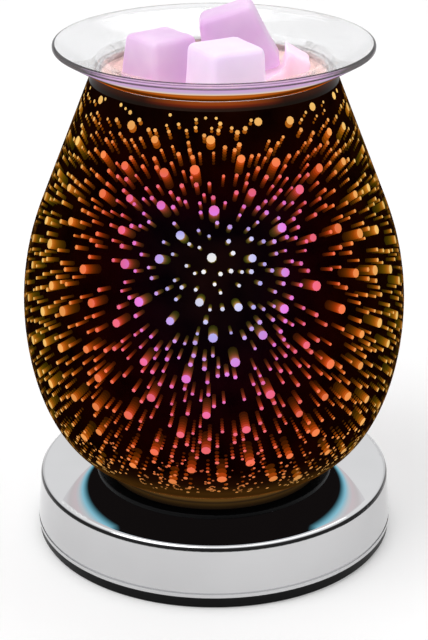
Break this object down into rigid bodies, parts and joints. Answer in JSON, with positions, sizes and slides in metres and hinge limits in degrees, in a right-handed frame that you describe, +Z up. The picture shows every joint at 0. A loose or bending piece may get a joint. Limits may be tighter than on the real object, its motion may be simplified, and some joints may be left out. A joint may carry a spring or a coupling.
{
  "type": "wax melt warmer",
  "caption": "Touch-dimmed electric wax melt warmer: a coated glass jar with light trails on a chrome drum, topped by a clear dish of wax melts over a twist-lock lamp.",
  "frame": {"origin": "centre of the foot on the table", "axes": "+Z up, -Y to the front, +Y to the cord inlet at the rear"},
  "size_m": [0.124, 0.124, 0.1774],
  "materials": {
    "chrome": "mirror polish",
    "black_plastic": "fine matt",
    "black_rubber": "matt",
    "steel": "zinc plated",
    "coated_glass": "dark metallic coating with light dots",
    "clear_glass": "polished",
    "reflector_glass": "facet-free metallic coat",
    "ceramic": "fired ceramic",
    "brass": "plain",
    "wax_lilac": "soft waxy",
    "wax_pale": "soft waxy",
    "wax_pink": "soft waxy",
    "grey_plastic": "fine matt",
    "foam": "soft foam",
    "board_green": "solder mask",
    "component_black": "moulded epoxy",
    "component_yellow": "moulded film case",
    "white_plastic": "nylon",
    "wire_brown": "insulation",
    "wire_blue": "insulation",
    "wire_white": "insulation",
    "wire_black": "insulation"
  },
  "bodies": {
    "base": {"base_shell": "chrome", "bottom_cover": "black_plastic", "foot_ring": "black_rubber", "cover_posts": "steel", "bottom_screws": "steel", "cord_grommet": "black_rubber", "jar_gasket": "black_rubber", "jar_collar": "steel", "collar_screws": "steel", "collar_nuts": "steel", "lamp_bracket": "steel", "bracket_screws": "steel", "bracket_nuts": "steel", "lamp_holder": "ceramic", "holder_screws": "steel", "dimmer_pad": "foam", "dimmer_case": "grey_plastic", "dimmer_lid": "grey_plastic", "dimmer_board": "board_green", "dimmer_triac": "component_black", "dimmer_capacitor": "component_yellow", "terminal_block": "white_plastic", "terminal_screws": "brass", "block_screw": "steel", "sense_lug": "brass", "live_wire": "wire_brown", "neutral_wire": "wire_blue", "switched_wire": "wire_white", "sense_wire": "wire_black"},
    "lamp": {"lamp_cap": "ceramic", "lamp_pins": "brass", "lamp_reflector": "reflector_glass", "lamp_lens": "clear_glass", "lamp_capsule": "clear_glass"},
    "jar": {"glass_jar": "coated_glass"},
    "dish": {"wax_dish": "clear_glass"},
    "wax": {"wax_melt_left": "wax_lilac", "wax_melt_front": "wax_pale", "wax_melt_back": "wax_lilac", "wax_melt_right": "wax_pink"}
  },
  "joints": [
    {"name": "jar_lift", "type": "slide", "parent": "base", "child": "jar", "axis": [0, 0, 1], "range_m": [0, 0.06]},
    {"name": "dish_lift", "type": "slide", "parent": "jar", "child": "dish", "axis": [0, 0, 1], "range_m": [0, 0.03]},
    {"name": "wax_lift", "type": "slide", "parent": "dish", "child": "wax", "axis": [0, 0, 1], "range_m": [0, 0.03]},
    {"name": "lamp_twist", "type": "hinge", "parent": "base", "child": "lamp", "pos_m": [0, 0, 0.0264], "axis": [0, 0, 1], "range_deg": [0, 30]}
  ]
}
